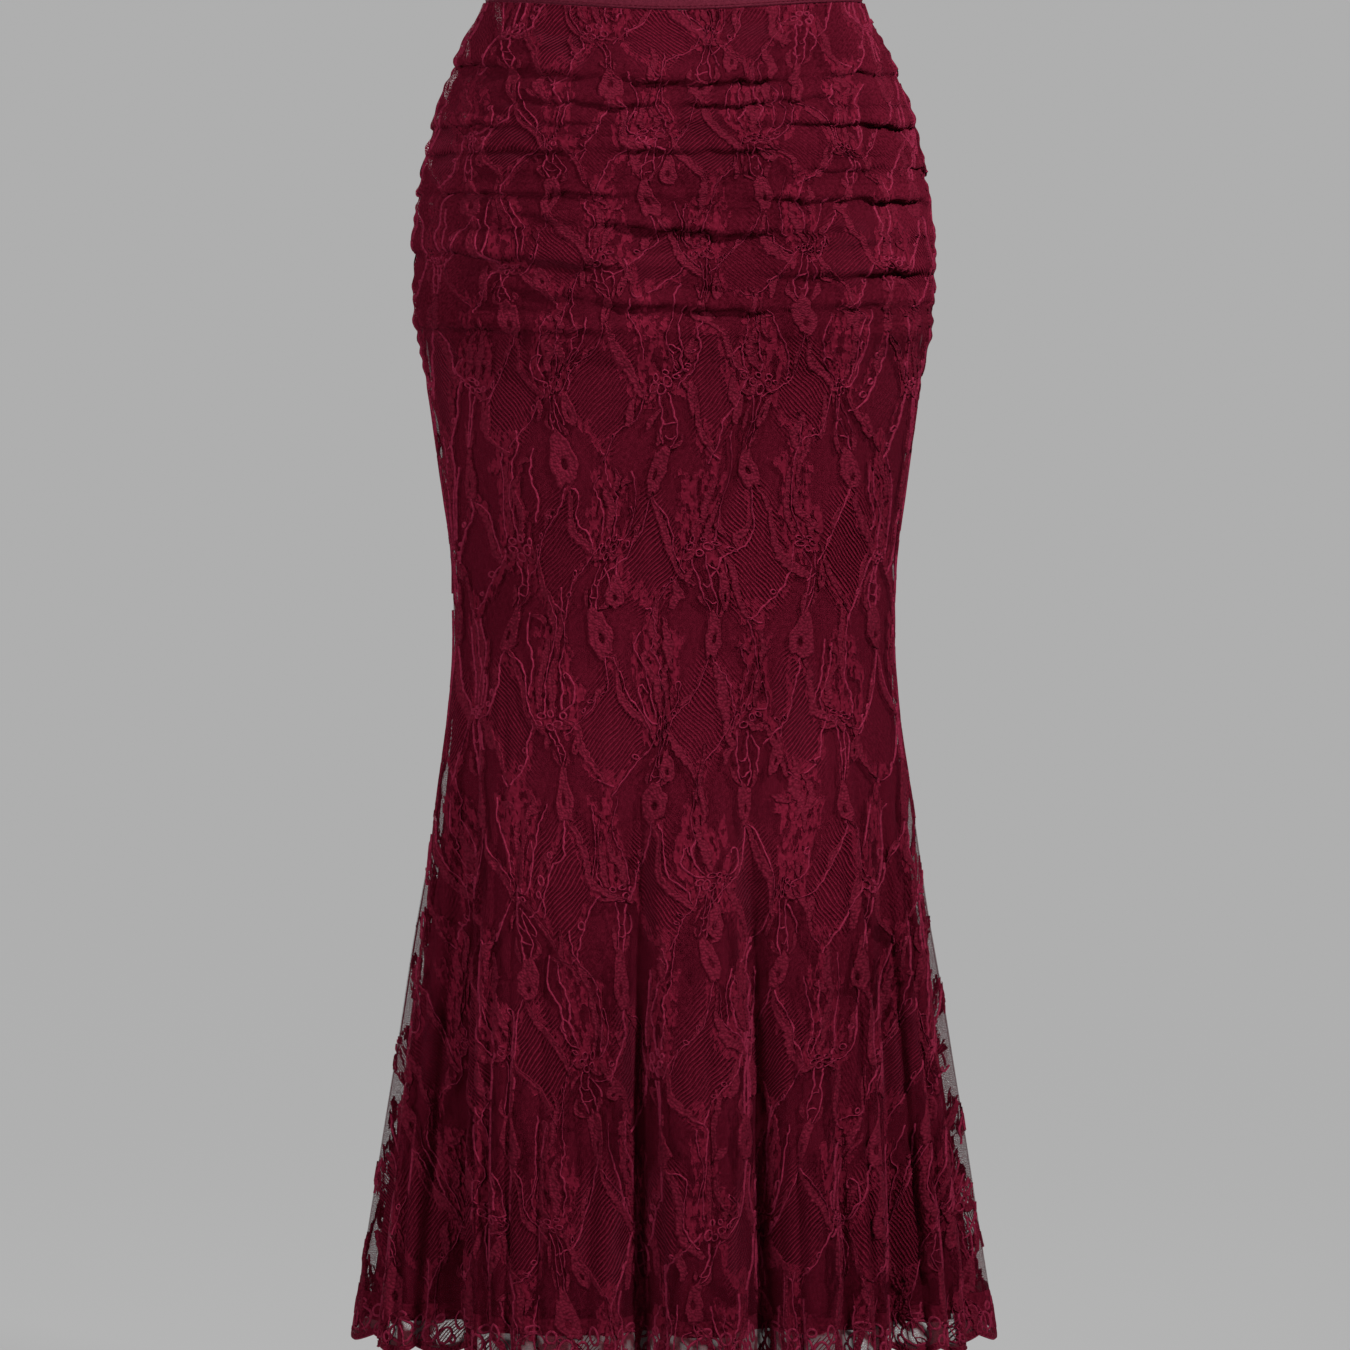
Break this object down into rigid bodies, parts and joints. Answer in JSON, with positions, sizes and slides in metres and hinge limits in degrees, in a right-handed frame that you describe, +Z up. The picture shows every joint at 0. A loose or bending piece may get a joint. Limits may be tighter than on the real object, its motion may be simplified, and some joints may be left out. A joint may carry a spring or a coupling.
{
  "type": "mermaid fishtail skirt",
  "caption": "Long lace mermaid skirt on a waistband, ruched over the hips, narrow at the knee and flared to a scalloped hem, with a shorter plain lining.",
  "frame": {"origin": "middle of the waist, halfway up the waistband", "axes": "+Z up along the body, -Y to the front, +X to the right of a viewer who faces the front"},
  "size_m": [0.4312, 0.3231, 0.9115],
  "materials": {
    "lace": "stretch lace, matt with a soft sheen",
    "lining": "plain knit lining, matt",
    "band": "plain covered elastic, matt"
  },
  "bodies": {
    "root": {"waistband": "band", "lace_front": "lace", "lace_back": "lace", "hem_edge_front": "lace", "hem_edge_back": "lace", "lining_front": "lining", "lining_back": "lining"}
  },
  "joints": []
}
